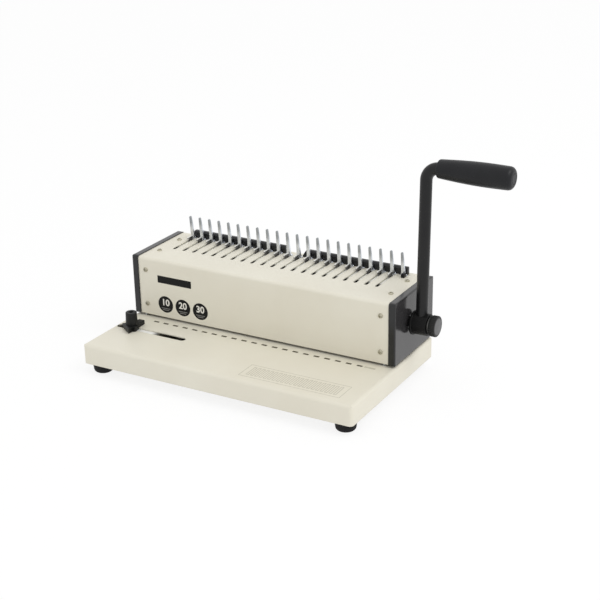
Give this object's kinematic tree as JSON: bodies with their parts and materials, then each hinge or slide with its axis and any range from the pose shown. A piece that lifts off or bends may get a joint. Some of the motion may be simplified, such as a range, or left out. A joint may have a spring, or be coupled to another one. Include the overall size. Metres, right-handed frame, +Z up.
{
  "type": "ring binding machine",
  "caption": "Desk punch and binding machine for plastic comb rings: cream folded base and body, dark end caps, upright fingers with opening hooks, and a side lever with a grip.",
  "frame": {"origin": "on the desk under the middle of the base", "axes": "+X to the right, towards the lever; +Y to the rear; +Z up"},
  "size_m": [0.4833, 0.2221, 0.2824],
  "materials": {
    "cream_enamel": "satin powder coat",
    "charcoal_plastic": "moulded, fine grain",
    "foot_rubber": "matt",
    "zinc_steel": "zinc plated",
    "bright_steel": "nickel plated",
    "bronze_bush": "sintered",
    "nylon": "natural",
    "black_enamel": "semi-gloss",
    "grip_plastic": "satin",
    "black_plastic": "moulded"
  },
  "bodies": {
    "machine_body": {"base_pan": "cream_enamel", "base_floor": "cream_enamel", "base_standoffs": "zinc_steel", "rubber_feet": "foot_rubber", "foot_screws": "zinc_steel", "left_side_frame": "zinc_steel", "right_side_frame": "zinc_steel", "cover": "cream_enamel", "rear_panel": "cream_enamel", "left_end_cap": "charcoal_plastic", "right_end_cap": "charcoal_plastic", "cover_screws": "zinc_steel", "cap_screws": "zinc_steel", "frame_screws": "zinc_steel", "shaft_bushes": "bronze_bush", "tie_rods": "zinc_steel", "finger_bar": "zinc_steel", "upright_fingers": "bright_steel", "left_comb_rest": "charcoal_plastic", "right_comb_rest": "charcoal_plastic", "comb_rest_screws": "zinc_steel", "die_plate": "bright_steel", "die_spacers": "zinc_steel", "paper_back_stop": "zinc_steel", "stripper_plate": "bright_steel", "die_screws": "zinc_steel", "guide_posts": "bright_steel", "hook_rails": "nylon", "tray_runners": "zinc_steel", "return_springs": "bright_steel"},
    "punch_carriage": {"punch_bar": "bright_steel", "punch_pins": "bright_steel", "punch_clamp": "zinc_steel", "clamp_screws": "zinc_steel"},
    "hook_carriage": {"hook_plate": "bright_steel", "comb_hooks": "bright_steel", "hook_racks": "bright_steel"},
    "lever_assembly": {"main_shaft": "bright_steel", "punch_cams": "zinc_steel", "sector_gears": "zinc_steel", "drive_pins": "bright_steel", "shaft_clip": "bright_steel", "lever_hub": "black_enamel", "lever_rod": "black_enamel", "lever_grip": "grip_plastic", "knob_washer": "bright_steel"},
    "lever_knob": {"clamp_knob": "black_plastic"},
    "edge_guide": {"guide_slider": "black_plastic", "guide_plate": "bright_steel"},
    "edge_guide_knob": {"guide_knob": "black_plastic"},
    "tray": {"chip_tray": "black_plastic", "tray_face": "black_plastic"}
  },
  "joints": [
    {"name": "lever_turn", "type": "hinge", "parent": "machine_body", "child": "lever_assembly", "pos_m": [0, 0.0431, 0.0825], "axis": [1, 0, 0], "range_deg": [0, 85.94], "stiffness_Nm_per_rad": 0.6, "springref_deg": -34.38},
    {"name": "punch_drop", "type": "slide", "parent": "machine_body", "child": "punch_carriage", "axis": [0, 0, -1], "range_m": [0, 0.0092], "deforming": ["return_springs"]},
    {"name": "hook_travel", "type": "slide", "parent": "machine_body", "child": "hook_carriage", "axis": [0, -1, 0], "range_m": [0, 0.0335]},
    {"name": "lever_knob_turn", "type": "hinge", "parent": "lever_assembly", "child": "lever_knob", "pos_m": [0.2132, 0.0431, 0.0825], "axis": [1, 0, 0], "range_deg": [0, 360]},
    {"name": "guide_slide", "type": "slide", "parent": "machine_body", "child": "edge_guide", "axis": [1, 0, 0], "range_m": [-0.0104, 0.0674]},
    {"name": "guide_knob_turn", "type": "hinge", "parent": "edge_guide", "child": "edge_guide_knob", "pos_m": [-0.1585, -0.039, 0.0535], "axis": [0, 0, 1], "range_deg": [0, 360]},
    {"name": "tray_slide", "type": "slide", "parent": "machine_body", "child": "tray", "axis": [0, 1, 0], "range_m": [0, 0.09]}
  ],
  "couplings": [
    {"joint": "punch_drop", "follows": "lever_turn", "m_per_rad": 0.006},
    {"joint": "hook_travel", "follows": "lever_turn", "m_per_rad": 0.022}
  ]
}
